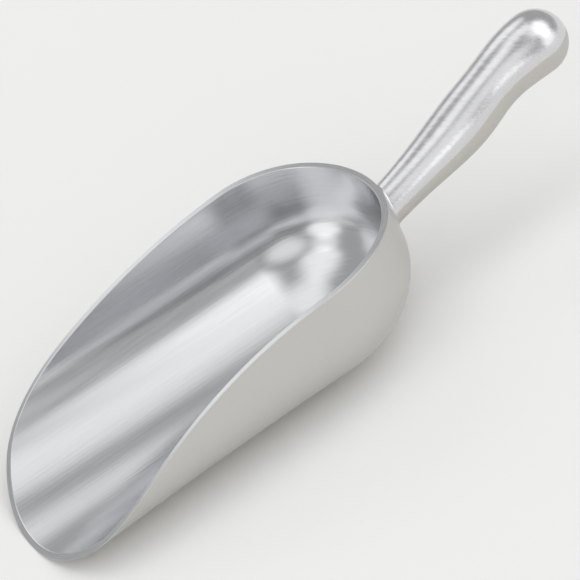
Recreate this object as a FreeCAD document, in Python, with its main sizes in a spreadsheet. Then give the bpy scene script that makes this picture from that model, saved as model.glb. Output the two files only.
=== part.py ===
import FreeCAD, Part
import Sketcher
import math
import os

# Ice scoop cast in aluminium: an open trough with a domed back and a solid grip rising from the dome.
# The casting is drawn with the nose of its lip at X = 0, the trough's straight bottom line at Z = 0
# and the grip pointing to +X. Every body is then moved back by half the overall length.

V = FreeCAD.Vector
doc = FreeCAD.newDocument("IceScoop")

# ---------------------------------------------------------------- sizes (mm, slopes in degrees)
SIZES = [
    # whole casting
    ("overall_length", 292.0),      # nose of the lip to the end of the grip
    ("rim_height", 57.6),           # highest point of the rim
    ("back_half_width", 51.2),      # outside half width at the round back, and the dome's radius
    ("nose_half_width", 58.4),      # outside half width that the flared walls reach at the nose
    # trough and dome
    ("dome_share", 0.488),          # of the overall length: nose to the dome's upright axis
    ("bend_share", 0.6285),         # of the rim height: where the floor has turned into walls
    ("bend_round", 0.7873),         # of the bend's height: radius between floor and wall
    ("peak_share", 0.80625),        # of the bowl's length: nose to the highest point of the rim
    ("wall_draft", 0.5),            # outward lean of the walls
    ("wall", 3.0),                  # wall thickness at the back
    ("lip", 1.9),                   # wall thickness at the nose
    # grip: how far along it each section is, how far above its root, how thick, and its slope
    ("knob_radius", 13.7),
    ("root_drop", 1.7273),          # of the root's radius: centre of the root below the rim's height
    ("root_girth", 0.6423),         # girths are shares of the knob's radius
    ("root_slope", 17.0),
    ("neck_share", 0.2238),         # shares and rises are of the grip's length
    ("neck_rise", 0.0661),
    ("neck_girth", 0.7372),
    ("neck_slope", 19.0),
    ("palm_share", 0.4781),
    ("palm_rise", 0.1546),
    ("palm_girth", 0.8832),
    ("palm_slope", 21.0),
    ("waist_share", 0.6205),
    ("waist_rise", 0.2167),
    ("waist_girth", 0.854),
    ("waist_slope", 21.0),
    ("heel_share", 0.7609),
    ("heel_rise", 0.2594),
    ("heel_girth", 0.9562),
    ("heel_slope", 10.0),
    ("knob_rise", 0.2726),
    ("knob_slope", 4.0),
    # fillet of metal round the root of the grip
    ("fillet_round", 0.1591),       # of the root's radius
    # raised scale of strokes under the grip
    ("mark_length", 17.0),
    ("mark_width", 7.4),
    ("mark_stroke", 1.8),
    ("mark_raise", 0.6),
    ("mark_count", 5),
]

# Stations of the grip between its root and its knob.
STATIONS = ["neck", "palm", "waist", "heel"]

# Sizes that follow from the ones above.
DERIVED = [
    ("dome_centre", "=dome_share * overall_length"),
    ("bend_height", "=bend_share * rim_height"),
    ("bend_radius", "=bend_round * bend_height"),
    ("mid_half_width", "=back_half_width + (nose_half_width - back_half_width) / 4"),
    ("mid_wall", "=(wall + lip) / 2"),
    ("bowl_length", "=dome_centre + back_half_width"),
    ("mid_station", "=dome_centre / 2"),
    # The rim's arc starts at the nose on the bottom line and peaks at the rim's height.
    ("rim_peak", "=peak_share * bowl_length"),
    ("rim_radius", "=(rim_peak ^ 2 + rim_height ^ 2) / (2 * rim_height)"),
    ("grip_length", "=overall_length - bowl_length"),
    ("root_radius", "=root_girth * knob_radius"),
    ("root_height", "=rim_height - root_drop * root_radius"),
    ("fillet_radius", "=fillet_round * root_radius"),
    ("knob_station", "=overall_length - knob_radius"),
    ("knob_height", "=root_height + knob_rise * grip_length"),
    ("tool_height", "=rim_height + 15"),     # how far cutting shapes reach above the rim
    ("tool_margin", "=wall * 2"),            # how far they reach past the ends
]
for name in STATIONS:
    DERIVED.append((name + "_station", "=bowl_length + %s_share * grip_length" % name))
    DERIVED.append((name + "_height", "=root_height + %s_rise * grip_length" % name))
    DERIVED.append((name + "_radius", "=%s_girth * knob_radius" % name))

sheet = doc.addObject("Spreadsheet::Sheet", "Dims")
for row, (alias, content) in enumerate(SIZES + DERIVED, start=1):
    sheet.set("A%d" % row, alias)
    sheet.set("B%d" % row, str(content))
    sheet.setAlias("B%d" % row, alias)
doc.recompute()
size = {alias: float(getattr(sheet, alias)) for alias, _ in SIZES + DERIVED}


# ---------------------------------------------------------------- helpers
def new_body(name):
    body = doc.addObject("PartDesign::Body", name)
    body.Label = name
    body.setExpression("Placement.Base.x", "-Dims.overall_length / 2")
    return body


def new_sketch(body, name, role):
    """A sketch on one of the body's own origin planes."""
    sketch = body.newObject("Sketcher::SketchObject", name)
    plane = [f for f in body.Origin.OriginFeatures if f.Role == role][0]
    sketch.AttachmentSupport = [(plane, "")]
    sketch.MapMode = "FlatFace"
    return sketch


def bind(sketch, name, formula, *constraint):
    """Adds a dimension to a sketch and ties it to a formula over the sheet."""
    index = sketch.addConstraint(Sketcher.Constraint(*constraint))
    sketch.renameConstraint(index, name)
    sketch.setExpression("Constraints." + name, formula)


def tie(sketch, *constraint):
    sketch.addConstraint(Sketcher.Constraint(*constraint))


def arc(centre, radius, start, end):
    """A counter-clockwise arc between two angles in radians."""
    circle = Part.Circle(V(centre[0], centre[1], 0), V(0, 0, 1), radius)
    return Part.ArcOfCircle(circle, start, end)


def line(start, end):
    return Part.LineSegment(V(start[0], start[1], 0), V(end[0], end[1], 0))


def section_guess(width, wall):
    """First guess for a wall section: floor arc, bend arc and leaning wall, right-hand side."""
    thickness = size[wall] if wall else 0.0
    bend = size["bend_radius"] - thickness
    bend_x = size[width] - size["bend_radius"]
    bend_z = size["bend_height"]
    # The floor arc is centred above the bottom line and touches the bend arc from inside.
    rise = bend_z - thickness
    floor = (bend_x ** 2 + rise ** 2 - bend ** 2) / (2 * (rise - bend))
    centre_z = thickness + floor
    reach = math.atan2(bend_x, centre_z - bend_z)
    draft = math.radians(size["wall_draft"])
    touch = (bend_x + bend * math.cos(draft), bend_z - bend * math.sin(draft))
    top = size["tool_height"]
    end = (touch[0] + (top - touch[1]) * math.tan(draft), top)
    return {"bend": bend, "bend_at": (bend_x, bend_z), "floor": floor, "centre_z": centre_z,
            "reach": reach, "draft": draft, "touch": touch, "end": end, "bottom": thickness}


def whole_section(body, name, station, width, wall=None):
    """U-shaped outline across the trough: the outside, or the inside when a wall is named."""
    less = " - Dims." + wall if wall else ""
    g = section_guess(width, wall)
    sketch = new_sketch(body, name, "YZ_Plane")
    if station:
        sketch.setExpression("AttachmentOffset.Base.z", "Dims." + station)
    down = -math.pi / 2
    left_bend = (-g["bend_at"][0], g["bend_at"][1])
    left_touch = (-g["touch"][0], g["touch"][1])
    left_end = (-g["end"][0], g["end"][1])
    floor, right, wall_r, top, wall_l, left = range(6)
    sketch.addGeometry([
        arc((0, g["centre_z"]), g["floor"], down - g["reach"], down + g["reach"]),
        arc(g["bend_at"], g["bend"], down + g["reach"], -g["draft"]),
        line(g["touch"], g["end"]),
        line(g["end"], left_end),
        line(left_end, left_touch),
        arc(left_bend, g["bend"], math.pi + g["draft"], 3 * math.pi / 2 - g["reach"]),
    ], False)
    bottom = sketch.addGeometry(Part.Point(V(0, g["bottom"], 0)), True)
    tie(sketch, "Tangent", floor, 2, right, 1)
    tie(sketch, "Tangent", right, 2, wall_r, 1)
    tie(sketch, "Coincident", wall_r, 2, top, 1)
    tie(sketch, "Coincident", top, 2, wall_l, 1)
    tie(sketch, "Tangent", wall_l, 2, left, 1)
    tie(sketch, "Tangent", left, 2, floor, 1)
    tie(sketch, "PointOnObject", bottom, 1, -2)
    tie(sketch, "PointOnObject", bottom, 1, floor)
    tie(sketch, "Symmetric", right, 3, left, 3, -2)
    tie(sketch, "Symmetric", wall_r, 2, wall_l, 1, -2)
    bind(sketch, "bend", "Dims.bend_radius" + less, "Radius", right, g["bend"])
    tie(sketch, "Equal", right, left)
    bind(sketch, "half_width", "Dims.%s - Dims.bend_radius" % width,
         "DistanceX", -1, 1, right, 3, g["bend_at"][0])
    bind(sketch, "bend_height", "Dims.bend_height", "DistanceY", -1, 1, right, 3, g["bend_at"][1])
    bind(sketch, "depth", "Dims.bend_height" + less,
         "DistanceY", bottom, 1, right, 3, g["bend_at"][1] - g["bottom"])
    bind(sketch, "lean", "90 - Dims.wall_draft", "Angle", -1, 1, wall_r, 1,
         math.pi / 2 - g["draft"])
    bind(sketch, "top", "Dims.tool_height", "DistanceY", -1, 1, wall_r, 2, g["end"][1])
    return sketch


def half_section(body, name, wall=None, facing=0):
    """The same outline's half at the back, to be turned about the dome's upright axis.

    Facing turns the drawing round that axis, which moves the seam of a full turn.
    """
    less = " - Dims." + wall if wall else ""
    g = section_guess("back_half_width", wall)
    sketch = new_sketch(body, name, "XZ_Plane")
    sketch.AttachmentOffset = FreeCAD.Placement(V(1, 0, 0), FreeCAD.Rotation(V(0, 1, 0), facing))
    sketch.setExpression("AttachmentOffset.Base.x", "Dims.dome_centre")
    down = -math.pi / 2
    floor, bend, side, top, axis = range(5)
    sketch.addGeometry([
        arc((0, g["centre_z"]), g["floor"], down, down + g["reach"]),
        arc(g["bend_at"], g["bend"], down + g["reach"], -g["draft"]),
        line(g["touch"], g["end"]),
        line(g["end"], (0, g["end"][1])),
        line((0, g["end"][1]), (0, g["bottom"])),
    ], False)
    tie(sketch, "Tangent", floor, 2, bend, 1)
    tie(sketch, "Tangent", bend, 2, side, 1)
    tie(sketch, "Coincident", side, 2, top, 1)
    tie(sketch, "Coincident", top, 2, axis, 1)
    tie(sketch, "Coincident", axis, 2, floor, 1)
    tie(sketch, "Horizontal", top)
    tie(sketch, "PointOnObject", axis, 1, -2)
    tie(sketch, "PointOnObject", axis, 2, -2)
    tie(sketch, "PointOnObject", floor, 3, -2)
    bind(sketch, "bend", "Dims.bend_radius" + less, "Radius", bend, g["bend"])
    bind(sketch, "half_width", "Dims.back_half_width - Dims.bend_radius",
         "DistanceX", -1, 1, bend, 3, g["bend_at"][0])
    bind(sketch, "bend_height", "Dims.bend_height", "DistanceY", -1, 1, bend, 3, g["bend_at"][1])
    bind(sketch, "depth", "Dims.bend_height" + less,
         "DistanceY", axis, 2, bend, 3, g["bend_at"][1] - g["bottom"])
    bind(sketch, "lean", "90 - Dims.wall_draft", "Angle", -1, 1, side, 1,
         math.pi / 2 - g["draft"])
    bind(sketch, "top", "Dims.tool_height", "DistanceY", -1, 1, side, 2, g["end"][1])
    return sketch


def loft(body, kind, name, sketches):
    feature = body.newObject("PartDesign::" + kind, name)
    feature.Profile = sketches[0]
    feature.Sections = sketches[1:]
    feature.Ruled = False
    return feature


def turn(body, kind, name, sketch, axis, angle):
    """Turns a sketch about one of its own axes, half the angle to each side."""
    feature = body.newObject("PartDesign::" + kind, name)
    feature.Profile = sketch
    feature.ReferenceAxis = (sketch, [axis])
    feature.Angle = angle
    feature.Midplane = angle < 360
    return feature


# ---------------------------------------------------------------- bowl
bowl = new_body("bowl")
outside = [
    whole_section(bowl, "NoseOutside", None, "nose_half_width"),
    whole_section(bowl, "MidOutside", "mid_station", "mid_half_width"),
    whole_section(bowl, "BackOutside", "dome_centre", "back_half_width"),
]
loft(bowl, "AdditiveLoft", "Trough", outside)
turn(bowl, "Revolution", "Dome", half_section(bowl, "DomeOutside"), "V_Axis", 180)
inside = [
    whole_section(bowl, "NoseInside", None, "nose_half_width", "lip"),
    whole_section(bowl, "MidInside", "mid_station", "mid_half_width", "mid_wall"),
    whole_section(bowl, "BackInside", "dome_centre", "back_half_width", "wall"),
]
loft(bowl, "SubtractiveLoft", "TroughHollow", inside)
turn(bowl, "Groove", "DomeHollow", half_section(bowl, "DomeInside", "wall"), "V_Axis", 180)

# The rim is ground to one arc that starts at the nose of the lip.
rim = new_sketch(bowl, "RimArc", "XZ_Plane")
rim_r = size["rim_radius"]
rim_z = size["rim_height"] - rim_r
rim_x = math.sqrt(rim_r ** 2 - rim_z ** 2)
rim_left = -size["tool_margin"]
rim_right = size["bowl_length"] + size["tool_margin"]


def rim_point(x):
    return (x, rim_z + math.sqrt(rim_r ** 2 - (x - rim_x) ** 2))


def rim_angle(x):
    return math.atan2(rim_point(x)[1] - rim_z, x - rim_x)


high = size["tool_height"] + size["tool_margin"]
rim.addGeometry([
    arc((rim_x, rim_z), rim_r, rim_angle(rim_right), rim_angle(rim_left)),
    line(rim_point(rim_left), (rim_left, high)),
    line((rim_left, high), (rim_right, high)),
    line((rim_right, high), rim_point(rim_right)),
], False)
tie(rim, "Coincident", 0, 2, 1, 1)
tie(rim, "Coincident", 1, 2, 2, 1)
tie(rim, "Coincident", 2, 2, 3, 1)
tie(rim, "Coincident", 3, 2, 0, 1)
tie(rim, "Vertical", 1)
tie(rim, "Vertical", 3)
tie(rim, "Horizontal", 2)
tie(rim, "PointOnObject", -1, 1, 0)
bind(rim, "radius", "Dims.rim_radius", "Radius", 0, rim_r)
bind(rim, "drop", "Dims.rim_radius - Dims.rim_height", "DistanceY", 0, 3, -1, 1, -rim_z)
bind(rim, "before", "Dims.tool_margin", "DistanceX", 1, 2, -1, 1, -rim_left)
bind(rim, "behind", "Dims.bowl_length + Dims.tool_margin", "DistanceX", -1, 1, 2, 2, rim_right)
bind(rim, "high", "Dims.tool_height + Dims.tool_margin", "DistanceY", -1, 1, 1, 2, high)
cut = bowl.newObject("PartDesign::Pocket", "Rim")
cut.Profile = rim
cut.Type = "ThroughAll"
cut.Midplane = True

# ---------------------------------------------------------------- grip
def ring(body, name, along, height, radius, slope):
    """A round section square to the grip's centre line. Each argument is a formula."""
    sketch = new_sketch(body, name, "YZ_Plane")
    sketch.AttachmentOffset = FreeCAD.Placement(V(0, 1, 1), FreeCAD.Rotation(V(-1, 0, 0), 1))
    sketch.setExpression("AttachmentOffset.Base.z", along)
    sketch.setExpression("AttachmentOffset.Base.y", height)
    sketch.setExpression("AttachmentOffset.Rotation.Angle", slope)
    sketch.addGeometry(Part.Circle(V(0, 0, 0), V(0, 0, 1), 10), False)
    tie(sketch, "Coincident", 0, 3, -1, 1)
    bind(sketch, "radius", radius, "Radius", 0, 10)
    return sketch


def grip_solid(body, extra=""):
    """The grip from inside the dome's wall to its round end. Extra adds to every radius."""
    start = "Dims.wall * 2"
    rings = [ring(body, "Start", "Dims.bowl_length - " + start,
                  "Dims.root_height - %s * tan(Dims.root_slope * 1 deg)" % start,
                  "Dims.root_radius" + extra, "Dims.root_slope")]
    rings.append(ring(body, "Root", "Dims.bowl_length", "Dims.root_height",
                      "Dims.root_radius" + extra, "Dims.root_slope"))
    for name in STATIONS:
        dim = "Dims." + name
        rings.append(ring(body, name.capitalize(), dim + "_station", dim + "_height",
                          dim + "_radius" + extra, dim + "_slope"))
    rings.append(ring(body, "Knob", "Dims.knob_station", "Dims.knob_height",
                      "Dims.knob_radius" + extra, "Dims.knob_slope"))
    loft(body, "AdditiveLoft", "Grip", rings)


# The grip is drawn together with a blank of the dome, so that the fillet between them can be rounded.
# The blank is then taken away again, which leaves the grip seated on the dome's outside.
grip = new_body("handle")
turn(grip, "Revolution", "DomeBlank", half_section(grip, "BlankOutline", facing=180), "V_Axis", 360)
grip_solid(grip)

# Round end: a quarter disc turned about the grip's own centre line.
end = new_sketch(grip, "RoundEnd", "XZ_Plane")
end.AttachmentOffset = FreeCAD.Placement(V(1, 1, 0), FreeCAD.Rotation(V(0, 0, 1), 1))
end.setExpression("AttachmentOffset.Base.x", "Dims.knob_station")
end.setExpression("AttachmentOffset.Base.y", "Dims.knob_height")
end.setExpression("AttachmentOffset.Rotation.Angle", "Dims.knob_slope")
knob = size["knob_radius"]
end.addGeometry([
    arc((0, 0), knob, 0, math.pi / 2),
    line((0, knob), (0, 0)),
    line((0, 0), (knob, 0)),
], False)
tie(end, "Coincident", 0, 3, -1, 1)
tie(end, "Coincident", 0, 2, 1, 1)
tie(end, "Coincident", 1, 2, 2, 1)
tie(end, "Coincident", 2, 2, 0, 1)
tie(end, "Coincident", 1, 2, -1, 1)
tie(end, "Vertical", 1)
tie(end, "Horizontal", 2)
bind(end, "radius", "Dims.knob_radius", "Radius", 0, knob)
cap = turn(grip, "Revolution", "EndCap", end, "H_Axis", 360)
doc.recompute()


def seam_edges(shape, axis_x, reach, low, high_z):
    """Names of the edges where the grip leaves the dome."""
    names = []
    for index, edge in enumerate(shape.Edges, start=1):
        box = edge.BoundBox
        if edge.Degenerated:
            continue
        on_dome = all(abs(math.hypot(p.x - axis_x, p.y) - reach) < 3 for p in edge.discretize(9))
        if on_dome and box.ZMin > low and box.ZMax < high_z and box.YLength < 60:
            names.append("Edge%d" % index)
    return names


seam = seam_edges(cap.Shape, size["dome_centre"], size["back_half_width"],
                  size["root_height"] - 1.5 * size["root_radius"],
                  size["root_height"] + 1.5 * size["root_radius"])
soft = grip.newObject("PartDesign::Fillet", "RootFillet")
soft.Base = (cap, seam)
soft.setExpression("Radius", "Dims.fillet_radius")
turn(grip, "Groove", "DomeSeat", half_section(grip, "SeatOutline", facing=180), "V_Axis", 360)

# ---------------------------------------------------------------- raised scale under the grip
# Strokes are pushed down out of the grip, trimmed to a skin a little larger than the grip,
# and seated on the grip's own underside.
strokes = new_body("MarkStrokes")


def stroke_sketch(name, along):
    """A round-ended stroke: along the middle of the scale, or across it at its near end."""
    sketch = new_sketch(strokes, name, "XY_Plane")
    sketch.AttachmentOffset = FreeCAD.Placement(V(1, 0, 1), FreeCAD.Rotation(V(0, -1, 0), 1))
    sketch.setExpression("AttachmentOffset.Base.x", "Dims.waist_station")
    sketch.setExpression("AttachmentOffset.Base.z", "Dims.waist_height")
    sketch.setExpression("AttachmentOffset.Rotation.Angle", "Dims.waist_slope")
    radius = size["mark_stroke"] / 2
    half_x = size["mark_length"] / 2 - radius
    half_y = size["mark_width"] / 2 - radius
    near = (-half_x, 0) if along else (-half_x, -half_y)
    far = (half_x, 0) if along else (-half_x, half_y)
    start = math.pi / 2 if along else math.pi
    side = (0, radius) if along else (-radius, 0)
    sketch.addGeometry([
        arc(near, radius, start, start + math.pi),
        line((near[0] - side[0], near[1] - side[1]), (far[0] - side[0], far[1] - side[1])),
        arc(far, radius, start - math.pi, start),
        line((far[0] + side[0], far[1] + side[1]), (near[0] + side[0], near[1] + side[1])),
    ], False)
    for edge in range(4):
        tie(sketch, "Tangent", edge, 2, (edge + 1) % 4, 1)
    bind(sketch, "radius", "Dims.mark_stroke / 2", "Radius", 0, radius)
    half_length = "(Dims.mark_length - Dims.mark_stroke) / 2"
    half_width = "(Dims.mark_width - Dims.mark_stroke) / 2"
    bind(sketch, "near_x", "-" + half_length, "DistanceX", -1, 1, 0, 3, near[0])
    if along:
        bind(sketch, "far_x", half_length, "DistanceX", -1, 1, 2, 3, far[0])
        tie(sketch, "PointOnObject", 0, 3, -1)
        tie(sketch, "PointOnObject", 2, 3, -1)
    else:
        tie(sketch, "Symmetric", 0, 3, 2, 3, -1)
        bind(sketch, "far_y", half_width, "DistanceY", -1, 1, 2, 3, far[1])
    return sketch


def push_down(name, sketch):
    feature = strokes.newObject("PartDesign::Pad", name)
    feature.Profile = sketch
    feature.Reversed = True
    feature.setExpression("Length", "Dims.waist_radius * 1.5")
    return feature


push_down("LongStroke", stroke_sketch("LongOutline", True))
tick_sketch = stroke_sketch("TickOutline", False)
tick = push_down("Tick", tick_sketch)
ticks = strokes.newObject("PartDesign::LinearPattern", "Ticks")
ticks.Originals = [tick]
ticks.Direction = (tick_sketch, ["H_Axis"])
ticks.setExpression("Length", "Dims.mark_length - Dims.mark_stroke")
ticks.setExpression("Occurrences", "Dims.mark_count")
strokes.Tip = ticks

skin = new_body("MarkSkin")
grip_solid(skin, " + Dims.mark_raise")

trimmed = doc.addObject("Part::MultiCommon", "TrimmedStrokes")
trimmed.Shapes = [strokes, skin]
mark = doc.addObject("Part::Cut", "capacity_mark")
mark.Label = "capacity_mark"
mark.Base = trimmed
mark.Tool = grip
doc.recompute()

# ---------------------------------------------------------------- checks and files
for item in doc.Objects:
    if "Invalid" in item.State or "Error" in item.State:
        raise RuntimeError("%s did not compute: %s" % (item.Label, item.State))

os.makedirs("parts", exist_ok=True)
for piece in (bowl, grip, mark):
    shape = piece.Shape
    if shape.isNull() or not shape.isValid() or len(shape.Solids) != 1:
        raise RuntimeError("%s is not one sound solid" % piece.Label)
    shape.exportStep("parts/%s.step" % piece.Label)
    box = shape.optimalBoundingBox()
    print("%-14s %9.1f mm3   x %7.2f %7.2f   y %7.2f %7.2f   z %6.2f %6.2f" % (
        piece.Label, shape.Volume, box.XMin, box.XMax, box.YMin, box.YMax, box.ZMin, box.ZMax))
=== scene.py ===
# %% [markdown]
# # An ice scoop cast in aluminium
#
# The real scoop is one casting: a thin open trough with a domed back, and a solid grip that rises
# from the dome. After casting, the inside is polished, the outside is tumbled to a satin, the rim is
# ground flat and the upper half of the grip is cleaned on a belt. All of its beauty is in smooth
# curves and in what they mirror, so this lesson spends its effort on exact surfaces and on finishes.
#
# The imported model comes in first. It gives the size and place of everything that follows.

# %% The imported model
import math

import bmesh
import bpy
import numpy as np
from mathutils import Matrix, Vector


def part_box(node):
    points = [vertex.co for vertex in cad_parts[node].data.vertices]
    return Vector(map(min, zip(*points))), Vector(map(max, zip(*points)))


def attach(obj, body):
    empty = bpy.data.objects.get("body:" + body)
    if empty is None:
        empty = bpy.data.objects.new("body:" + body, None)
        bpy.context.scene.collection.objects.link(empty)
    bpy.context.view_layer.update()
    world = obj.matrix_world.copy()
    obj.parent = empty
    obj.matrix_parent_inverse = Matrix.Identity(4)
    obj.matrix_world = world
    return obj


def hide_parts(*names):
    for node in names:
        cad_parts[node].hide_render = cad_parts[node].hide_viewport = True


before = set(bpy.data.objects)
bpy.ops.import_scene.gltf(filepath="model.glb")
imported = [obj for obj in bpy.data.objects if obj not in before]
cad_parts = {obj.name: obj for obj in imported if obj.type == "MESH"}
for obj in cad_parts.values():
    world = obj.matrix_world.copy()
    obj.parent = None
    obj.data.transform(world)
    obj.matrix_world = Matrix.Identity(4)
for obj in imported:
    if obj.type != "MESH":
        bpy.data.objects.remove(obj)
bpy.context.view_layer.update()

MM = 0.001

# %% [markdown]
# ## Driving sizes
#
# Everything below is in millimetres until it is written into a mesh. The ends of the bowl and of the
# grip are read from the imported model. The other sizes are the casting's own: the half widths, the
# bend between floor and wall, and the big arc that the rim is ground to.

# %% Sizes of the casting
bowl_low, bowl_high = (Vector(corner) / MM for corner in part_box("bowl"))
grip_high = Vector(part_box("handle")[1]) / MM

NOSE_X = bowl_low.x          # tip of the lip
RIM_TOP = bowl_high.z        # highest point of the rim
GRIP_END_X = grip_high.x     # end of the knob

TROUGH = 142.5               # length from the lip to the dome's upright axis
DOME_X = NOSE_X + TROUGH
BACK_HALF = 51.2             # outside half width at the dome, and the dome's radius
NOSE_HALF = 58.4             # outside half width that the flared walls reach at the lip
BEND_Z = 36.2                # height where the floor has turned into upright walls
BEND_R = 28.5                # radius of that turn
LEAN = math.tan(math.radians(0.5))   # the walls lean out by half a degree
WALL = 3.0                   # wall thickness at the back
LIP = 1.9                    # wall thickness at the lip
RIM_R = 240.5                # radius of the rim's arc in side view
rim_centre_z = RIM_TOP - RIM_R
rim_centre_x = NOSE_X + math.sqrt(RIM_R ** 2 - rim_centre_z ** 2)
print("dome axis at x =", round(DOME_X, 2))
print("rim arc centre at", round(rim_centre_x, 2), round(rim_centre_z, 2))

# %% [markdown]
# ## Camera
#
# A scoop like this is shown from above and from its side, turned so that it points down to one corner.
# A very long lens keeps the rim's curve true. The camera is aimed with three unit vectors: right, up
# and back, and the lens is worked out from how many millimetres the picture is wide.

# %% Camera
AZIMUTH, ELEVATION, ROLL = -9.94, 35.90, -27.81      # degrees
AIM = Vector((-4.49, -6.27, 38.64)) * MM
DISTANCE = 4.0                                       # metres
PICTURE_WIDTH = 233.0                                # millimetres across, at the aim point
SENSOR = 36.0

turn_z, tilt = math.radians(AZIMUTH), math.radians(ELEVATION)
back = Vector((math.sin(turn_z) * math.cos(tilt), -math.cos(turn_z) * math.cos(tilt), math.sin(tilt)))
level_right = Vector((math.cos(turn_z), math.sin(turn_z), 0.0))
roll = Matrix.Rotation(math.radians(ROLL), 3, back)
right = roll @ level_right
up = back.cross(right)

camera = bpy.data.objects.new("camera", bpy.data.cameras.new("camera"))
bpy.context.collection.objects.link(camera)
camera.matrix_world = Matrix((right, up, back)).transposed().to_4x4()
camera.location = AIM + back * DISTANCE
camera.data.sensor_width = SENSOR
camera.data.lens = SENSOR * DISTANCE / (PICTURE_WIDTH * MM)
camera.data.clip_start, camera.data.clip_end = 0.1, 60.0
bpy.context.scene.camera = camera
print("camera right", [round(v, 4) for v in right], "up", [round(v, 4) for v in up])

# %% [markdown]
# ## One helper for every node tree
#
# Shaders, the studio's light and the geometry trees are all node trees. One small function adds a
# node, sets its own settings and fills its sockets, with a number or with another node's output.
# Colours are written the way a paint chart gives them, and one function turns them into linear light.


# %% Helpers for nodes and colours
def add(tree, kind, sockets=None, **settings):
    """Adds a node. Sockets go by name or number, and take a value or another node's output."""
    node = tree.nodes.new(kind)
    for name, value in settings.items():
        setattr(node, name, value)
    for key, value in (sockets or {}).items():
        if isinstance(value, bpy.types.NodeSocket):
            tree.links.new(value, node.inputs[key])
        else:
            node.inputs[key].default_value = value
    return node


def linear(hex_colour):
    """An sRGB colour such as #C8C7C2 as linear light, with alpha."""
    shares = [int(hex_colour[i:i + 2], 16) / 255 for i in (1, 3, 5)]
    return [s / 12.92 if s <= 0.04045 else ((s + 0.055) / 1.055) ** 2.4 for s in shares] + [1.0]


# %% [markdown]
# ## The studio
#
# Polished metal has hardly any colour of its own: it shows the room. The room here is a white tent
# with large soft boxes. Each box is a round patch of brightness in one direction, with a soft edge, so
# the light never looks like a lamp. The gaps between the boxes matter as much: they are the dark bands
# that make metal look like metal. The tent is painted on the world, which is quicker and less noisy
# than real lamps. What the camera sees past the floor is plain white.

# %% Studio light
TENT = 0.45
SOFT_BOXES = [
    # name, azimuth and height of its middle, radius, soft edge (degrees), strength
    ("big box past the grip", 60, 54, 28, 9, 1.05),
    ("low bounce below it", 40, 10, 25, 13, 0.85),
    ("overhead sheet", -147, 79, 13, 8, 0.7),
    ("high box past the lip", -78, 57, 15, 7, 0.75),
    ("middle box past the lip", -70, 34, 10, 7, 0.6),
    ("low box past the lip", -67, 10, 14, 7, 0.85),
    ("box in front", -26, 33, 16, 9, 0.55),
    ("low sheet in front", -21, -1, 14, 9, 1.1),
    ("box behind", -168, 40, 14, 9, 0.8),
]


def direction(azimuth, elevation):
    """Unit vector towards a place in the tent. Azimuth 0 faces the scoop's side, and 90 is past its grip."""
    a, e = math.radians(azimuth), math.radians(elevation)
    return (math.sin(a) * math.cos(e), -math.cos(a) * math.cos(e), math.sin(e))


world = bpy.data.worlds.new("studio")
bpy.context.scene.world = world
world.use_nodes = True
tent = world.node_tree
tent.nodes.clear()
where = add(tent, "ShaderNodeTexCoord").outputs["Generated"]
glow = None
for name, azimuth, elevation, radius, edge, strength in SOFT_BOXES:
    facing = add(tent, "ShaderNodeVectorMath", {0: where, 1: direction(azimuth, elevation)},
                 operation="DOT_PRODUCT", label=name)
    patch = add(tent, "ShaderNodeMapRange",
                {"Value": facing.outputs["Value"],
                 "From Min": math.cos(math.radians(radius + edge)),
                 "From Max": math.cos(math.radians(max(0.0, radius - edge))),
                 "To Max": strength}, interpolation_type="SMOOTHSTEP")
    before = TENT if glow is None else glow
    total = add(tent, "ShaderNodeMath", {0: patch.outputs["Result"], 1: before}, operation="ADD")
    glow = total.outputs[0]
seen = add(tent, "ShaderNodeBackground", {"Color": (1, 1, 1, 1), "Strength": 1.0})
lit = add(tent, "ShaderNodeBackground", {"Color": (1, 1, 1, 1), "Strength": glow})
path = add(tent, "ShaderNodeLightPath")
mixed = add(tent, "ShaderNodeMixShader",
            {0: path.outputs["Is Camera Ray"], 1: lit.outputs[0], 2: seen.outputs[0]})
add(tent, "ShaderNodeOutputWorld", {"Surface": mixed.outputs[0]})
bpy.context.scene.view_settings.view_transform = "Standard"
print("studio:", len(SOFT_BOXES), "soft boxes")

# %% Floor
FLOOR_HALF = 6.0             # metres
FLOOR_DROP = 0.02 * MM       # a hair below the scoop, so that the two surfaces never fight
floor_mesh = bpy.data.meshes.new("floor")
corners = [(x * FLOOR_HALF, y * FLOOR_HALF, -FLOOR_DROP) for x, y in ((-1, -1), (1, -1), (1, 1), (-1, 1))]
floor_mesh.from_pydata(corners, [], [(0, 1, 2, 3)])
floor = bpy.data.objects.new("floor", floor_mesh)
bpy.context.collection.objects.link(floor)
paper = bpy.data.materials.new("matt_white_paper")
paper.use_nodes = True
paper_face = paper.node_tree.nodes["Principled BSDF"]
paper_face.inputs["Base Color"].default_value = linear("#FBFBFA")
paper_face.inputs["Roughness"].default_value = 0.95
paper_face.inputs["Specular IOR Level"].default_value = 0.1
floor_mesh.materials.append(paper)

# %% [markdown]
# ## The bowl's wall, as a rule
#
# Cut the trough anywhere across and the outline is the same kind: a wide floor arc, a tighter bend
# and a nearly upright wall, all touching smoothly. The floor arc is centred on the middle plane and
# meets the bend tangentially, which fixes its radius. Towards the lip the half width grows with the
# square of the distance and the wall gets thinner. The dome is the back outline turned round an
# upright axis. Walking along the outline by its own length keeps the mesh even.


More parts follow.
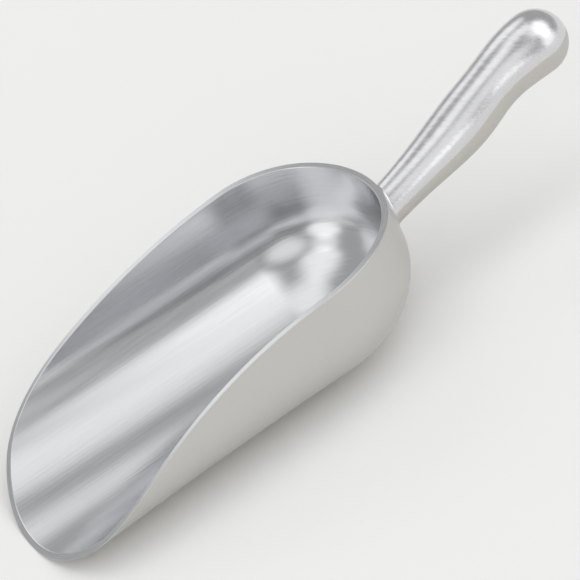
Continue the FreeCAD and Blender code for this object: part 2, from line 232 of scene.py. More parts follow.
# %% Outline of the wall
def outline(x, skin):
    """The wall's outline at station x. Skin 0 is the outside and 1 the inside."""
    ahead = max(0.0, DOME_X - x) / TROUGH
    thickness = skin * (WALL - (WALL - LIP) * ahead)
    bend_y = BACK_HALF + (NOSE_HALF - BACK_HALF) * ahead ** 2 - BEND_R
    bend = BEND_R - thickness
    rise = BEND_Z - thickness
    floor_r = (bend_y ** 2 + rise ** 2 - bend ** 2) / (2 * (rise - bend))
    reach = math.atan2(bend_y, thickness + floor_r - BEND_Z)
    return {"bottom": thickness, "floor": floor_r, "reach": reach, "bend": bend, "bend_y": bend_y,
            "floor_run": floor_r * reach, "bend_run": bend * (math.pi / 2 - reach)}


def at_run(o, run):
    """Distance from the middle plane and height, after walking this far from the bottom line."""
    if run <= o["floor_run"]:
        angle = run / o["floor"]
        return o["floor"] * math.sin(angle), o["bottom"] + o["floor"] * (1 - math.cos(angle))
    if run <= o["floor_run"] + o["bend_run"]:
        angle = o["reach"] + (run - o["floor_run"]) / o["bend"]
        return o["bend_y"] + o["bend"] * math.sin(angle), BEND_Z - o["bend"] * math.cos(angle)
    above = run - o["floor_run"] - o["bend_run"]
    return o["bend_y"] + o["bend"] + above * LEAN, BEND_Z + above


def run_at(o, height):
    """How far along the outline a height is reached."""
    turned = 1 - (height - o["bottom"]) / o["floor"]
    if turned >= math.cos(o["reach"]):
        return o["floor"] * math.acos(min(1.0, turned))
    if height <= BEND_Z:
        return o["floor_run"] + o["bend"] * (math.acos((BEND_Z - height) / o["bend"]) - o["reach"])
    return o["floor_run"] + o["bend_run"] + height - BEND_Z


def rim_height(x):
    return rim_centre_z + math.sqrt(RIM_R ** 2 - (x - rim_centre_x) ** 2)


back_outline = outline(DOME_X, 0)
print("floor radius at the back:", round(back_outline["floor"], 1), "mm")

# %% [markdown]
# ## The bowl's mesh
#
# The wall could be lofted between cross sections, but at the lip those sections shrink to a point
# and the quads turn to slivers, which ruins a polished surface. Here lines of quads start square to
# the rim instead, and run down to a spine along the bottom: like ribs of a leaf. At the lip they fan
# out round its tip, and in the dome they meet at its axis. Both skins use the same lines, and a strip
# between them closes the ground rim. The surface coordinates go round the bowl like a horseshoe, the
# way a polishing mop runs: first along one side, then round the dome, then back along the other.

# %% Lines of the bowl
TROUGH_LINES = 128           # from the lip's tip to the dome, on each side
DOME_LINES = 64              # a quarter turn of the dome
STEPS_DOWN = 56              # from the rim to the spine
ROUNDS = 20                  # repeats of a sum that settles on one value
FAN = 45.0                   # how far ahead of the rim the lines at the lip reach the spine


def lip_tip(skin):
    """Where the rim's arc meets the bottom of this skin."""
    x = NOSE_X
    for _ in range(ROUNDS):
        x = rim_centre_x - math.sqrt(RIM_R ** 2 - (outline(x, skin)["bottom"] - rim_centre_z) ** 2)
    return x


def trough_line(share, skin):
    """Points from the rim to the spine, as (x, y, z, run), for a share of the way to the dome."""
    tip = lip_tip(skin)
    x_rim = tip + (DOME_X - tip) * share ** 2
    x_spine = x_rim + FAN * (1 - share ** 2)
    run_rim = run_at(outline(x_rim, skin), rim_height(x_rim))
    points = []
    for step in range(STEPS_DOWN + 1):
        down = step / STEPS_DOWN
        x = x_rim + (x_spine - x_rim) * down
        run = run_rim * (1 - down)
        y, z = at_run(outline(x, skin), run)
        points.append((x, y, z, run))
    return points


def dome_line(angle, skin):
    """Points from the rim to the dome's axis, at this angle round it from the side."""
    o = outline(DOME_X, skin)
    run_rim = run_at(o, RIM_TOP)
    for _ in range(ROUNDS):
        reach = at_run(o, run_rim)[0]
        run_rim = run_at(o, rim_height(DOME_X + reach * math.sin(angle)))
    points = []
    for step in range(STEPS_DOWN + 1):
        run = run_rim * (1 - step / STEPS_DOWN)
        reach, z = at_run(o, run)
        points.append((DOME_X + reach * math.sin(angle), reach * math.cos(angle), z, run))
    return points


HALF_TURN = math.pi * BACK_HALF      # length of the outside once round the dome


def bowl_lines(skin):
    """All lines from one side of the lip's tip, round the back, to the other side of the tip."""
    side = [trough_line(i / TROUGH_LINES, skin) for i in range(TROUGH_LINES)]
    quarter = [dome_line(math.pi / 2 * i / DOME_LINES, skin) for i in range(DOME_LINES + 1)]
    lines = []
    for points in side:
        lines.append([(x, y, z, x - DOME_X, run) for x, y, z, run in points])
    for i, points in enumerate(quarter):
        lines.append([(x, y, z, HALF_TURN / 2 * i / DOME_LINES, run) for x, y, z, run in points])
    for i, points in reversed(list(enumerate(quarter))[:-1]):
        lines.append([(x, -y, z, HALF_TURN * (1 - i / DOME_LINES / 2), run) for x, y, z, run in points])
    for points in reversed(side):
        lines.append([(x, -y, z, HALF_TURN + DOME_X - x, run) for x, y, z, run in points])
    return lines


skins = [bowl_lines(0), bowl_lines(1)]
print("bowl:", len(skins[0]), "lines of", STEPS_DOWN, "quads on each skin")

# %% Mesh of the bowl
OUTSIDE, INSIDE, RIM = range(3)
EDGE_ROUND = 0.35            # mm broken off both edges of the rim
WELD = 0.001 * MM            # points closer than this become one


def bowl_mesh():
    """Both skins and the rim between them as one closed mesh, with its polish map and bevel weights."""
    bm = bmesh.new()
    along = bm.loops.layers.uv.new("polish")
    corner = bm.edges.layers.float.new("bevel_weight_edge")

    def quad(points, finish):
        face = bm.faces.new([bm.verts.new(Vector(p[:3]) * MM) for p in points])
        for loop, p in zip(face.loops, points):
            loop[along].uv = (p[3] * MM, p[4] * MM)
        face.material_index = finish
        face.smooth = True

    for skin, finish in ((0, OUTSIDE), (1, INSIDE)):
        lines = skins[skin]
        for one, two in zip(lines, lines[1:]):
            for step in range(STEPS_DOWN):
                points = [one[step], one[step + 1], two[step + 1], two[step]]
                quad(points if skin else points[::-1], finish)
    for outer, inner in ((skins[0][i:i + 2], skins[1][i:i + 2]) for i in range(len(skins[0]) - 1)):
        strip = [outer[0][0], inner[0][0], inner[1][0], outer[1][0]]
        across = [p[:4] + (share,) for p, share in zip(strip, (WALL, 0, 0, WALL))]
        quad(across, RIM)
    bmesh.ops.remove_doubles(bm, verts=bm.verts, dist=WELD)
    bmesh.ops.dissolve_degenerate(bm, dist=WELD, edges=bm.edges)
    for edge in bm.edges:
        finishes = {face.material_index for face in edge.link_faces}
        edge[corner] = 1.0 if RIM in finishes and len(finishes) == 2 else 0.0
    open_edges = sum(1 for edge in bm.edges if len(edge.link_faces) != 2)
    print("bowl mesh:", len(bm.faces), "faces,", open_edges, "open edges, volume",
          round(bm.calc_volume(signed=True) / MM ** 3), "mm3")
    mesh = bpy.data.meshes.new("bowl")
    bm.to_mesh(mesh)
    bm.free()
    return mesh


def place(name, data):
    """A new object at the origin, linked to the scene."""
    piece = bpy.data.objects.new(name, data)
    bpy.context.collection.objects.link(piece)
    return piece


def finished(piece, name):
    """The piece with its modifiers worked into a plain mesh, as a new object at the origin."""
    bpy.context.view_layer.update()
    evaluated = piece.evaluated_get(bpy.context.evaluated_depsgraph_get())
    mesh = bpy.data.meshes.new_from_object(evaluated, preserve_all_data_layers=True,
                                           depsgraph=bpy.context.evaluated_depsgraph_get())
    mesh.name = name
    bpy.data.objects.remove(piece)
    result = place(name, mesh)
    print(name, "has", sum(len(p.vertices) - 2 for p in mesh.polygons), "triangles")
    return result


bowl_blank = place("bowl_blank", bowl_mesh())
soft_edges = bowl_blank.modifiers.new("broken edges", "BEVEL")
soft_edges.limit_method = "WEIGHT"
soft_edges.width = EDGE_ROUND * MM
soft_edges.segments = 3
soft_edges.harden_normals = True
soft_edges.use_clamp_overlap = True
bowl_shell = finished(bowl_blank, "bowl_shell")

# %% [markdown]
# ## The grip's centre line
#
# The grip swells for the palm, thins before the heel of the hand and ends in a knob. Seven round
# sections, each with a height and a radius, are enough. A curve with continuous bending through them
# gives reflections that flow without a kink, so the heights and the radii are each joined by a cubic
# spline, with a set slope at both ends. The first section lies inside the dome, and is never seen.

# %% Stations of the grip
ROOT_X = DOME_X + BACK_HALF
GRIP_STATIONS = [
    # behind the dome, height of the centre, radius
    (-6.0, 40.57, 8.8),
    (0.0, 42.4, 8.8),
    (22.0, 48.9, 10.1),
    (47.0, 57.6, 12.1),
    (61.0, 63.7, 11.7),
    (74.8, 67.9, 13.1),
]
WAIST = GRIP_STATIONS[4][0]
ROOT_SLOPE = math.tan(math.radians(17.0))
KNOB_SLOPE = math.tan(math.radians(4.0))
KNOB_Z = 69.2                # height of the knob's centre
KNOB_R = 13.7
KNOB_X = GRIP_END_X - KNOB_R - ROOT_X


def smooth_through(places, values, first_slope, last_slope):
    """Cubic curve with continuous bending through the values: returns a function of the place."""
    places, values = np.array(places), np.array(values)
    gaps = np.diff(places)
    rates = np.diff(values) / gaps
    count = len(places)
    system, wanted = np.zeros((count, count)), np.zeros(count)
    system[0, 0] = system[-1, -1] = 1.0
    wanted[0], wanted[-1] = first_slope, last_slope
    for i in range(1, count - 1):
        system[i, i - 1:i + 2] = gaps[i], 2 * (gaps[i] + gaps[i - 1]), gaps[i - 1]
        wanted[i] = 3 * (gaps[i] * rates[i - 1] + gaps[i - 1] * rates[i])
    slopes = np.linalg.solve(system, wanted)

    def value(place):
        i = int(np.clip(np.searchsorted(places, place) - 1, 0, count - 2))
        t = (place - places[i]) / gaps[i]
        low, high = values[i], values[i + 1]
        pull_low, pull_high = slopes[i] * gaps[i], slopes[i + 1] * gaps[i]
        return ((2 * t ** 3 - 3 * t ** 2 + 1) * low + (t ** 3 - 2 * t ** 2 + t) * pull_low
                + (3 * t ** 2 - 2 * t ** 3) * high + (t ** 3 - t ** 2) * pull_high)

    return value


station_x = [s[0] for s in GRIP_STATIONS] + [KNOB_X]
centre_height = smooth_through(station_x, [s[1] for s in GRIP_STATIONS] + [KNOB_Z],
                               ROOT_SLOPE, KNOB_SLOPE)
grip_radius = smooth_through(station_x, [s[2] for s in GRIP_STATIONS] + [KNOB_R], 0.0, 0.0)
print("waist radius", round(grip_radius(WAIST), 2), "at height", round(centre_height(WAIST), 2), "mm")

# %% [markdown]
# ## The grip, swept by Geometry Nodes
#
# A round section swept along a line is what Curve to Mesh is for. The line carries the radius of each
# section, and the knob is the same sweep with radii that follow a half circle down to nothing. The
# section isn't quite a circle: where the two halves of the mould met there is a fine line along both
# sides, left by the belt. The section's points crowd together there, so the line is real geometry.

# %% Line of the grip
ROOT_STEP, GRIP_STEP = 0.25, 1.3     # mm between sections, by the dome and along the grip
ROOT_ZONE = 5.0                      # mm of close sections outside the dome
HIDDEN_START = -3.0                  # mm: the sweep starts this far inside the dome
KNOB_STEPS = 28
TIP = 1e-4                           # the last section's share of the knob's radius


def grip_line():
    """Sections as (x, z, radius), from inside the dome's wall to the tip of the knob."""
    close = list(np.arange(HIDDEN_START, ROOT_ZONE, ROOT_STEP))
    even = list(np.linspace(ROOT_ZONE, KNOB_X, int((KNOB_X - ROOT_ZONE) / GRIP_STEP)))
    sections = [(ROOT_X + x, centre_height(x), grip_radius(x)) for x in close + even]
    axis = Vector((1.0, KNOB_SLOPE)).normalized()
    for step in range(1, KNOB_STEPS + 1):
        angle = math.pi / 2 * step / KNOB_STEPS
        centre = Vector((ROOT_X + KNOB_X, KNOB_Z)) + axis * KNOB_R * math.sin(angle)
        sections.append((centre.x, centre.y, KNOB_R * max(math.cos(angle), TIP)))
    return sections


def line_object(name, sections):
    """A poly line in the middle plane that carries a radius, for a sweep."""
    curve = bpy.data.curves.new(name, "CURVE")
    curve.dimensions = "3D"
    spline = curve.splines.new("POLY")
    spline.points.add(len(sections) - 1)
    for point, (x, z, radius) in zip(spline.points, sections):
        point.co = (x * MM, 0.0, z * MM, 1.0)
        point.radius = radius * MM
    return place(name, curve)


# %% Tree of the grip
def new_tree(name, **inputs):
    """An empty geometry tree with its named inputs, as (kind, default)."""
    tree = bpy.data.node_groups.new(name, "GeometryNodeTree")
    tree.interface.new_socket("Geometry", in_out="INPUT", socket_type="NodeSocketGeometry")
    tree.interface.new_socket("Geometry", in_out="OUTPUT", socket_type="NodeSocketGeometry")
    for key, (kind, default) in inputs.items():
        socket = tree.interface.new_socket(key.replace("_", " "), in_out="INPUT", socket_type=kind)
        if default is not None:
            socket.default_value = default
    return tree


def run_tree(piece, tree, **values):
    """Puts the tree on a piece. Inputs are set by the sockets' identifiers."""
    modifier = piece.modifiers.new(tree.name, "NODES")
    modifier.node_group = tree
    names = {item.name: item.identifier for item in tree.interface.items_tree if item.in_out == "INPUT"}
    for key, value in values.items():
        modifier[names[key.replace("_", " ")]] = value
    return modifier


def grip_tree():
    """Sweeps the section of a cast grip, with its parting line, along a line with radii."""
    # Depth, width and cut are shares of the grip's radius.
    tree = new_tree("swept grip", Points_Round=("NodeSocketInt", 160), Crowding=("NodeSocketFloat", 0.8),
                    Line_Depth=("NodeSocketFloat", 0.012), Line_Width=("NodeSocketFloat", 0.03),
                    Belt_Cut=("NodeSocketFloat", 0.01), Finish=("NodeSocketMaterial", None))
    given = add(tree, "NodeGroupInput").outputs
    circle = add(tree, "GeometryNodeCurvePrimitiveCircle",
                 {"Resolution": given["Points Round"], "Radius": 1.0})
    index = add(tree, "GeometryNodeInputIndex")
    share = add(tree, "ShaderNodeMath", {0: index.outputs[0], 1: given["Points Round"]}, operation="DIVIDE")
    angle = add(tree, "ShaderNodeMath", {0: share.outputs[0], 1: 2 * math.pi}, operation="MULTIPLY")
    # Crowd the points towards angle 0 and half a turn, where the parting line is.
    twice = add(tree, "ShaderNodeMath", {0: angle.outputs[0], 1: 2.0}, operation="MULTIPLY")
    wave = add(tree, "ShaderNodeMath", {0: twice.outputs[0]}, operation="SINE")
    pull = add(tree, "ShaderNodeMath", {0: wave.outputs[0], 1: given["Crowding"]}, operation="MULTIPLY")
    half = add(tree, "ShaderNodeMath", {0: pull.outputs[0], 1: 0.5}, operation="MULTIPLY")
    place_round = add(tree, "ShaderNodeMath", {0: angle.outputs[0], 1: half.outputs[0]}, operation="SUBTRACT")
    sine = add(tree, "ShaderNodeMath", {0: place_round.outputs[0]}, operation="SINE")
    cosine = add(tree, "ShaderNodeMath", {0: place_round.outputs[0]}, operation="COSINE")
    # The section's own second axis points down on the grip.
    above = add(tree, "ShaderNodeMath", {0: sine.outputs[0], 1: -1.0}, operation="MULTIPLY")
    # A groove one line wide: depth times exp(-(height / width) squared).
    ratio = add(tree, "ShaderNodeMath", {0: above.outputs[0], 1: given["Line Width"]}, operation="DIVIDE")
    square = add(tree, "ShaderNodeMath", {0: ratio.outputs[0], 1: ratio.outputs[0]}, operation="MULTIPLY")
    minus = add(tree, "ShaderNodeMath", {0: square.outputs[0], 1: -1.0}, operation="MULTIPLY")
    fade = add(tree, "ShaderNodeMath", {0: minus.outputs[0]}, operation="EXPONENT")
    groove = add(tree, "ShaderNodeMath", {0: fade.outputs[0], 1: given["Line Depth"]}, operation="MULTIPLY")
    # The belt takes a little off the upper half, which leaves a step along the line.
    upper = add(tree, "ShaderNodeMapRange", {"Value": above.outputs[0], "From Min": 0.0, "From Max": 0.03,
                                             "To Max": 1.0}, interpolation_type="SMOOTHSTEP")
    belt = add(tree, "ShaderNodeMath", {0: upper.outputs[0], 1: given["Belt Cut"]}, operation="MULTIPLY")
    less = add(tree, "ShaderNodeMath", {0: groove.outputs[0], 1: belt.outputs[0]}, operation="ADD")
    reach = add(tree, "ShaderNodeMath", {0: 1.0, 1: less.outputs[0]}, operation="SUBTRACT")
    spot = add(tree, "ShaderNodeCombineXYZ", {"X": cosine.outputs[0], "Y": sine.outputs[0]})
    scaled = add(tree, "ShaderNodeVectorMath", {0: spot.outputs[0], "Scale": reach.outputs[0]},
                 operation="SCALE")
    section = add(tree, "GeometryNodeSetPosition", {"Geometry": circle.outputs["Curve"],
                                                    "Position": scaled.outputs[0]})
    marked = add(tree, "GeometryNodeStoreNamedAttribute",
                 {"Geometry": section.outputs[0], "Name": "upper", "Value": above.outputs[0]},
                 data_type="FLOAT", domain="POINT")
    upright = add(tree, "GeometryNodeSetCurveNormal", {"Curve": given["Geometry"]}, mode="Z_UP")
    radius = add(tree, "GeometryNodeInputRadius")
    sweep = add(tree, "GeometryNodeCurveToMesh",
                {"Curve": upright.outputs[0], "Profile Curve": marked.outputs[0], "Scale": radius.outputs[0],
                 "Fill Caps": True})
    welded = add(tree, "GeometryNodeMergeByDistance", {"Geometry": sweep.outputs[0], "Distance": 0.002 * MM})
    smooth = add(tree, "GeometryNodeSetShadeSmooth", {"Geometry": welded.outputs[0], "Shade Smooth": True})
    real = add(tree, "GeometryNodeRealizeInstances", {"Geometry": smooth.outputs[0]})
    done = add(tree, "GeometryNodeSetMaterial", {"Geometry": real.outputs[0], "Material": given["Finish"]})
    add(tree, "NodeGroupOutput", {"Geometry": done.outputs[0]})
    return tree


# %% [markdown]
# ## Finishes
#
# All three pieces are the same alloy, so the finishes differ mostly in how each surface was worked. An
# alloy for casting is a little darker than pure aluminium, and where it was only tumbled it is a little
# warmer too. The grip's two colours also carry painted light: its upper half is painted lighter, as lit
# from above, and its lower half darker, as painted shade. Marks from tools are drawn as long thin noise:
# fine across the marks and slow along them, in bump and a little in roughness. Real marks are about a
# tenth of a millimetre wide, which is too fine to show when the whole scoop is in view, so they are all
# drawn several times as coarse.

# %% Finish helpers
NOISE_LOW, NOISE_HIGH = 0.3, 0.7     # noise hardly ever leaves this range
TUMBLED_GRAIN = 0.5                  # mm, drawn coarser than the real grain of about 0.1 mm


def metal(name, colour):
    """A new metal and its Principled node. A metal keeps the default IOR."""
    material = bpy.data.materials.new(name)
    material.use_nodes = True
    face = material.node_tree.nodes["Principled BSDF"]
    face.inputs["Base Color"].default_value = linear(colour)
    face.inputs["Metallic"].default_value = 1.0
    return material, material.node_tree, face


def per_metre(millimetres):
    """Noise scale for features of this size."""
    return 1.0 / (millimetres * MM)


def strokes(tree, source, across, along, turn_by=0.0, detail=3.0):
    """Noise drawn out into strokes. Across and along are their width and length in mm."""
    turned = add(tree, "ShaderNodeVectorRotate", {"Vector": source, "Angle": turn_by},
                 rotation_type="Z_AXIS")
    sizes = (per_metre(along), per_metre(across), per_metre(across))
    stretched = add(tree, "ShaderNodeVectorMath", {0: turned.outputs[0], 1: sizes}, operation="MULTIPLY")
    noise = add(tree, "ShaderNodeTexNoise",
                {"Vector": stretched.outputs[0], "Scale": 1.0, "Detail": detail, "Roughness": 0.6})
    return noise.outputs["Fac"]


def grain_of(tree, source):
    """Fine even noise, as left by tumbling."""
    noise = add(tree, "ShaderNodeTexNoise",
                {"Vector": source, "Scale": per_metre(TUMBLED_GRAIN), "Detail": 4.0})
    return noise.outputs["Fac"]


def spread(tree, source, low, high):
    """Stretches noise over the range from low to high."""
    node = add(tree, "ShaderNodeMapRange", {"Value": source, "From Min": NOISE_LOW, "From Max": NOISE_HIGH,
                                            "To Min": low, "To Max": high})
    return node.outputs[0]


def bump(tree, face, height, depth):
    """Raises the surface by depth in mm where the height is 1."""
    node = add(tree, "ShaderNodeBump", {"Height": height, "Distance": depth * MM, "Strength": 1.0})
    tree.links.new(node.outputs[0], face.inputs["Normal"])


# %% Polished inside
def polished_cast_aluminium():
    """The mopped inside: it mirrors the room softly, broken by fine strokes round the bowl."""
    material, tree, face = metal("polished_cast_aluminium", "#D6D7D9")
    place_on = add(tree, "ShaderNodeUVMap", uv_map="polish").outputs[0]
    fine = strokes(tree, place_on, across=1.2, along=26.0, detail=5.0)
    tree.links.new(spread(tree, fine, 0.12, 0.24), face.inputs["Roughness"])
    bump(tree, face, fine, 0.035)
    return material


# %% Satin outside
def satin_cast_aluminium():
    """The tumbled outside: an even pale grey with a fine grain, no clear reflection."""
    material, tree, face = metal("satin_cast_aluminium", "#CECDCA")
    grain = grain_of(tree, add(tree, "ShaderNodeTexCoord").outputs["Object"])
    tree.links.new(spread(tree, grain, 0.42, 0.52), face.inputs["Roughness"])
    bump(tree, face, grain, 0.01)
    return material


# %% Ground rim
def ground_aluminium():
    """The rim, ground on a fine stone: bright, with hairlines that run along it."""
    material, tree, face = metal("ground_aluminium", "#D6D7D9")
    place_on = add(tree, "ShaderNodeUVMap", uv_map="polish").outputs[0]
    hair = strokes(tree, place_on, across=0.3, along=14.0)
    tree.links.new(spread(tree, hair, 0.24, 0.36), face.inputs["Roughness"])
    bump(tree, face, hair, 0.004)
    return material


# %% Grip
# Painted light: the upper half's colour is lighter, as a painted highlight from above, and the lower half's
# is darker and warmer, as painted shade.
BELTED_LIT_TOP, TUMBLED_SHADED_UNDERSIDE = "#DCDCDE", "#CAC7C2"   # upper and lower half of the grip
TUMBLED_ROUGHNESS = 0.45


def belted_aluminium_lit_and_shaded():
    """The grip: the upper half belt-ground in slanting strokes, with a painted highlight in a lighter colour;
    the lower half as it was tumbled, with painted shade in a darker, warmer colour.
    """
    material, tree, face = metal("belted_aluminium_lit_and_shaded", BELTED_LIT_TOP)
    spot = add(tree, "ShaderNodeTexCoord").outputs["Object"]
    belt = strokes(tree, spot, across=1.4, along=9.0, turn_by=math.radians(40))
    grain = grain_of(tree, spot)
    half = add(tree, "ShaderNodeAttribute", attribute_name="upper", attribute_type="GEOMETRY")
    above = add(tree, "ShaderNodeMapRange",
                {"Value": half.outputs["Fac"], "From Min": -0.01, "From Max": 0.02}).outputs[0]
    rough = add(tree, "ShaderNodeMix", {0: above, 2: TUMBLED_ROUGHNESS, 3: spread(tree, belt, 0.18, 0.30)},
                data_type="FLOAT")
    tree.links.new(rough.outputs[0], face.inputs["Roughness"])
    # Painted light: the upper half gets the lighter colour and the lower half gets the darker colour of
    # painted shade.
    shade = add(tree, "ShaderNodeMix", {0: above, 6: linear(TUMBLED_SHADED_UNDERSIDE), 7: linear(BELTED_LIT_TOP)}, data_type="RGBA")
    tree.links.new(shade.outputs[2], face.inputs["Base Color"])
    height = add(tree, "ShaderNodeMix", {0: above, 2: grain, 3: belt}, data_type="FLOAT")
    bump(tree, face, height.outputs[0], 0.06)
    return material


polished = polished_cast_aluminium()
satin = satin_cast_aluminium()
ground = ground_aluminium()
belted_lit_and_shaded = belted_aluminium_lit_and_shaded()
for finish in (satin, polished, ground):
    bowl_shell.data.materials.append(finish)

# %% Grip from its tree
grip_line_object = line_object("grip_line", grip_line())
run_tree(grip_line_object, grip_tree(), Finish=belted_lit_and_shaded)
grip = finished(grip_line_object, "grip")

# %% [markdown]
# ## Where the grip leaves the dome
#
# Molten metal can't fill a sharp inner corner, so a small fillet runs round the root of the grip. Each
# point of the grip knows how far it is from the dome's outside. Closer than the fillet's radius it
# moves outwards along its own normal, by what a quarter circle asks for. Points inside the wall are
# pulled to one depth, so the grip never shows in the bowl.

# %% Fillet at the root
FILLET = 1.4
SEAT_DEPTH = 1.5             # how deep the grip's hidden end sits in the dome's wall


def dome_reach(height):
    """Outside radius of the dome at a height."""
    o = back_outline
    return at_run(o, run_at(o, height))[0]


def seat_grip(mesh):
    """Flares the root of the grip into its fillet, and pulls its hidden end up to one depth."""
    normals = [v.normal.copy() for v in mesh.vertices]
    for vertex, normal in zip(mesh.vertices, normals):
        x, y, z = vertex.co / MM
        gap = math.hypot(x - DOME_X, y) - dome_reach(z)
        if gap > FILLET:
            continue
        bare = FILLET - max(0.0, gap)
        grow = FILLET - math.sqrt(FILLET ** 2 - bare ** 2)
        flat = Vector((x - DOME_X, y, 0.0)).normalized()
        sideways = (normal - flat * normal.dot(flat)).normalized()
        moved = Vector((x, y, z)) + sideways * grow
        gap_now = math.hypot(moved.x - DOME_X, moved.y) - dome_reach(moved.z)
        if gap_now < -SEAT_DEPTH:
            moved += flat * (-SEAT_DEPTH - gap_now)
        vertex.co = moved * MM
    mesh.update()


def print_box(piece):
    places = [v.co for v in piece.data.vertices]
    corners = np.min(places, axis=0), np.max(places, axis=0)
    print(piece.name, "box:", [[round(float(v) / MM, 2) for v in corner] for corner in corners], "mm")


seat_grip(grip.data)
print_box(grip)

# %% [markdown]
# ## The raised scale under the grip
#
# Under the thinnest part of the grip the mould leaves a raised mark for the scoop's size: here a plain
# scale, one long stroke with five short ones across it. Each stroke is a half-round bead that follows
# the underside. The long one is a line laid on it, and the short ones are arcs that repeat along that
# line, so a tree that places arcs on the points of a line makes them all, and one sweep gives every
# stroke the same bead.

# %% Line under the grip
mark_low, mark_high = (Vector(corner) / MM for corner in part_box("capacity_mark"))
STROKE = 1.8                 # width of a bead
RAISE = 0.6                  # how far it stands out
CROSS_STROKES = 5
CROSS_LENGTH = mark_high.y - mark_low.y
BEAD_STEP = 0.22             # mm between sections of a bead
BEAD_SIDES = 20
ARC_POINTS = 17              # along each short stroke, before its bead is swept
BLUNT = 0.02                 # leaves the very end of a bead a seventh as wide, so that its cap is a real face
FOOT_ROUNDS = 6              # repeats that find the point of the grip right above a place
mark_middle_x = (mark_low.x + mark_high.x) / 2
line_reach = (mark_high.x - mark_low.x) / 2 - STROKE / 2


def slope_at(place):
    """Rise of the grip's centre line over the millimetre round this place."""
    return centre_height(place + 0.5) - centre_height(place - 0.5)


def underside_line(points=24):
    """The middle line of the scale, on the underside, with the radius of the grip there."""
    sections = []
    for x in np.linspace(mark_middle_x - line_reach, mark_middle_x + line_reach, points):
        place_x = x - ROOT_X
        for _ in range(FOOT_ROUNDS):
            lean = math.atan(slope_at(place_x))
            place_x = x - ROOT_X - grip_radius(place_x) * math.sin(lean)
        radius = grip_radius(place_x)
        lean = math.atan(slope_at(place_x))
        foot_x = ROOT_X + place_x + radius * math.sin(lean)
        foot_z = centre_height(place_x) - radius * math.cos(lean)
        sections.append((foot_x, foot_z, radius))
    return sections


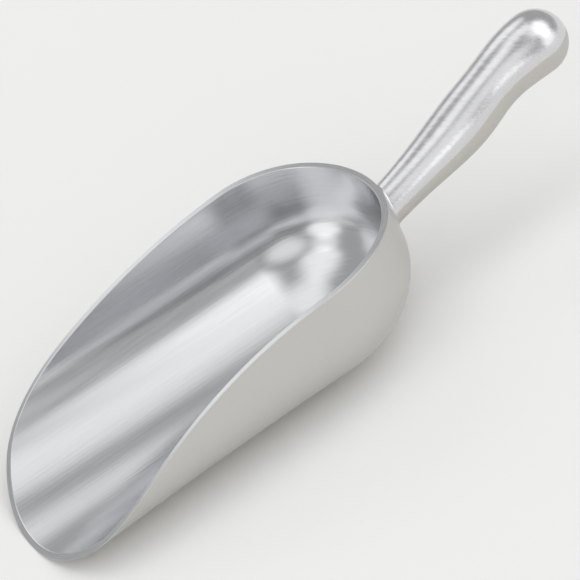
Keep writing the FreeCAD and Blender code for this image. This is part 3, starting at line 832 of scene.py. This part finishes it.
# %% Tree of the scale
def scale_tree():
    """A long bead along a line, and short beads across it that bend round the radius it carries."""
    tree = new_tree("raised scale", Cross_Strokes=("NodeSocketInt", 5),
                    Cross_Length=("NodeSocketFloat", 0.007),
                    Bead_Width=("NodeSocketFloat", 0.0018), Bead_Height=("NodeSocketFloat", 0.0006),
                    Finish=("NodeSocketMaterial", None))
    given = add(tree, "NodeGroupInput").outputs
    level = add(tree, "GeometryNodeSetCurveNormal", {"Curve": given["Geometry"]}, mode="Z_UP")
    # Stations for the short strokes: even points along the line.
    stations = add(tree, "GeometryNodeCurveToPoints",
                   {"Curve": level.outputs[0], "Count": given["Cross Strokes"]}, mode="COUNT")
    radius = add(tree, "GeometryNodeInputRadius")
    held = add(tree, "GeometryNodeStoreNamedAttribute",
               {"Geometry": stations.outputs["Points"], "Name": "girth", "Value": radius.outputs[0]},
               data_type="FLOAT", domain="POINT")
    straight = add(tree, "GeometryNodeCurvePrimitiveLine", {"Start": (0, -0.5, 0), "End": (0, 0.5, 0)})
    fine = add(tree, "GeometryNodeResampleCurve", {"Curve": straight.outputs[0], "Count": ARC_POINTS},
               mode="COUNT")
    laid = add(tree, "GeometryNodeInstanceOnPoints",
               {"Points": held.outputs[0], "Instance": fine.outputs[0], "Scale": (1.0, 1.0, 1.0)})
    real = add(tree, "GeometryNodeRealizeInstances", {"Geometry": laid.outputs[0]})
    # Each point of a short stroke rises with the round of the grip: radius minus its cosine.
    spot = add(tree, "GeometryNodeInputPosition")
    parts = add(tree, "ShaderNodeSeparateXYZ", {0: spot.outputs[0]})
    wide = add(tree, "ShaderNodeMath", {0: parts.outputs["Y"], 1: given["Cross Length"]},
               operation="MULTIPLY")
    girth = add(tree, "GeometryNodeInputNamedAttribute", {"Name": "girth"}, data_type="FLOAT")
    share = add(tree, "ShaderNodeMath", {0: wide.outputs[0], 1: girth.outputs["Attribute"]},
                operation="DIVIDE")
    sine = add(tree, "ShaderNodeMath", {0: share.outputs[0]}, operation="SINE")
    cosine = add(tree, "ShaderNodeMath", {0: share.outputs[0]}, operation="COSINE")
    side = add(tree, "ShaderNodeMath", {0: sine.outputs[0], 1: girth.outputs["Attribute"]},
               operation="MULTIPLY")
    short = add(tree, "ShaderNodeMath", {0: 1.0, 1: cosine.outputs[0]}, operation="SUBTRACT")
    rise = add(tree, "ShaderNodeMath", {0: short.outputs[0], 1: girth.outputs["Attribute"]},
               operation="MULTIPLY")
    height = add(tree, "ShaderNodeMath", {0: parts.outputs["Z"], 1: rise.outputs[0]}, operation="ADD")
    bent = add(tree, "ShaderNodeCombineXYZ",
               {"X": parts.outputs["X"], "Y": side.outputs[0], "Z": height.outputs[0]})
    arcs = add(tree, "GeometryNodeSetPosition", {"Geometry": real.outputs[0], "Position": bent.outputs[0]})
    both = add(tree, "GeometryNodeJoinGeometry")
    for line_of in (level.outputs[0], arcs.outputs[0]):
        tree.links.new(line_of, both.inputs[0])
    # Every line gets the same oval bead, which tapers over its last points.
    factor = add(tree, "GeometryNodeSplineParameter")
    length = add(tree, "GeometryNodeSplineLength")
    from_end = add(tree, "ShaderNodeMath", {0: factor.outputs["Length"], 1: length.outputs["Length"]},
                   operation="SUBTRACT")
    to_end = add(tree, "ShaderNodeMath", {0: from_end.outputs[0]}, operation="ABSOLUTE")
    nearest = add(tree, "ShaderNodeMath", {0: factor.outputs["Length"], 1: to_end.outputs[0]},
                  operation="MINIMUM")
    half_width = add(tree, "ShaderNodeMath", {0: given["Bead Width"], 1: 0.5}, operation="MULTIPLY")
    inward = add(tree, "ShaderNodeMath", {0: nearest.outputs[0], 1: half_width.outputs[0]},
                 operation="DIVIDE")
    held_in = add(tree, "ShaderNodeClamp", {"Value": inward.outputs[0]})
    left = add(tree, "ShaderNodeMath", {0: 1.0, 1: held_in.outputs[0]}, operation="SUBTRACT")
    left_square = add(tree, "ShaderNodeMath", {0: left.outputs[0], 1: left.outputs[0]}, operation="MULTIPLY")
    rest = add(tree, "ShaderNodeMath", {0: 1.0 + BLUNT, 1: left_square.outputs[0]}, operation="SUBTRACT")
    taper = add(tree, "ShaderNodeMath", {0: rest.outputs[0]}, operation="SQRT")
    dense = add(tree, "GeometryNodeResampleCurve", {"Curve": both.outputs[0], "Length": BEAD_STEP * MM},
                mode="LENGTH")
    round_bead = add(tree, "GeometryNodeCurvePrimitiveCircle", {"Resolution": BEAD_SIDES, "Radius": 0.5})
    double = add(tree, "ShaderNodeMath", {0: given["Bead Height"], 1: 2.0}, operation="MULTIPLY")
    oval = add(tree, "ShaderNodeCombineXYZ", {"X": double.outputs[0], "Y": given["Bead Width"], "Z": 1.0})
    bead = add(tree, "GeometryNodeTransform", {"Geometry": round_bead.outputs[0], "Scale": oval.outputs[0]})
    level_again = add(tree, "GeometryNodeSetCurveNormal", {"Curve": dense.outputs[0]}, mode="Z_UP")
    sweep = add(tree, "GeometryNodeCurveToMesh",
                {"Curve": level_again.outputs[0], "Profile Curve": bead.outputs[0],
                 "Scale": taper.outputs[0], "Fill Caps": True})
    smooth = add(tree, "GeometryNodeSetShadeSmooth", {"Geometry": sweep.outputs[0], "Shade Smooth": True})
    solid = add(tree, "GeometryNodeRealizeInstances", {"Geometry": smooth.outputs[0]})
    done = add(tree, "GeometryNodeSetMaterial", {"Geometry": solid.outputs[0], "Material": given["Finish"]})
    add(tree, "NodeGroupOutput", {"Geometry": done.outputs[0]})
    return tree


scale_line = line_object("scale_line", underside_line())
run_tree(scale_line, scale_tree(), Cross_Strokes=CROSS_STROKES, Cross_Length=CROSS_LENGTH * MM,
         Bead_Width=STROKE * MM, Bead_Height=RAISE * MM, Finish=belted_lit_and_shaded)
raised_scale = finished(scale_line, "raised_scale")
print_box(raised_scale)

# %% The finished pieces, with their names, in place of the CAD parts
PIECES = [
    # piece, CAD node that it stands for, name of its finish
    (bowl_shell, "bowl", "bowl_metal"),
    (grip, "handle", "handle_metal"),
    (raised_scale, "capacity_mark", "mark_metal"),
]
for piece, node, slot in PIECES:
    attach(piece, "root")
    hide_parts(node)
